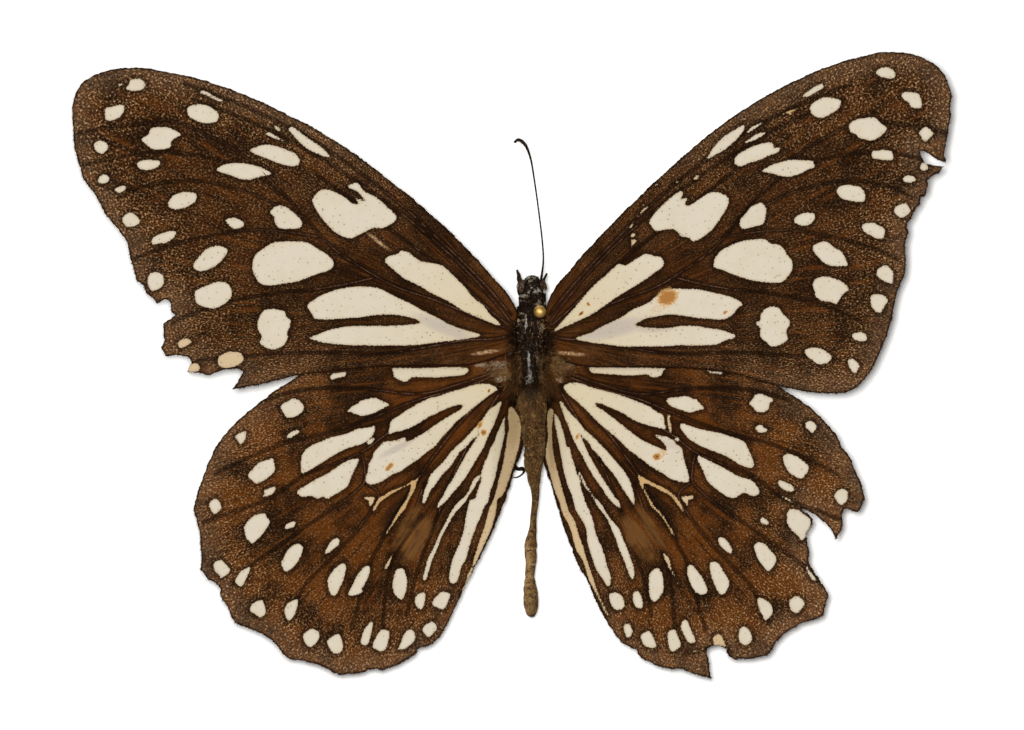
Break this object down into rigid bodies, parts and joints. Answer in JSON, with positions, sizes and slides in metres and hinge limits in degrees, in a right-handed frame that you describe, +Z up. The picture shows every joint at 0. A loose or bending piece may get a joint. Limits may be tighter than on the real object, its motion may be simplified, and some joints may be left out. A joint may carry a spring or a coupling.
{
  "type": "spread butterfly specimen",
  "caption": "Dried butterfly with spread dark brown wings and cream spots, pinned through the thorax, lying on the flat underside of its body.",
  "frame": {"origin": "middle of the specimen's outline seen from above, on the surface that it rests on", "axes": "+X along the span to the specimen's right wings, +Y from the tail to the head, +Z up"},
  "size_m": [0.0856, 0.0609, 0.0082],
  "materials": {
    "wing_scales": "matt dark brown wing scales with cream spots",
    "dark_cuticle": "near-black hairy cuticle",
    "dry_abdomen": "dry, wrinkled brown skin",
    "eye_facets": "dark brown, softly shiny",
    "pin_steel": "drawn steel wire",
    "gilt_pin_head": "gold-coloured, slightly dull"
  },
  "bodies": {
    "root": {"forewing_left": "wing_scales", "forewing_right": "wing_scales", "hindwing_left": "wing_scales", "hindwing_right": "wing_scales", "thorax": "dark_cuticle", "abdomen": "dry_abdomen", "head": "dark_cuticle", "eye_left": "eye_facets", "eye_right": "eye_facets", "palp_left": "dark_cuticle", "palp_right": "dark_cuticle", "antenna_right": "dark_cuticle", "proboscis": "dark_cuticle", "foreleg_left": "dark_cuticle", "foreleg_right": "dark_cuticle", "midleg_left": "dark_cuticle", "midleg_right": "dark_cuticle", "hindleg_left": "dark_cuticle", "hindleg_right": "dark_cuticle", "pin_shaft": "pin_steel", "pin_head": "gilt_pin_head"}
  },
  "joints": []
}
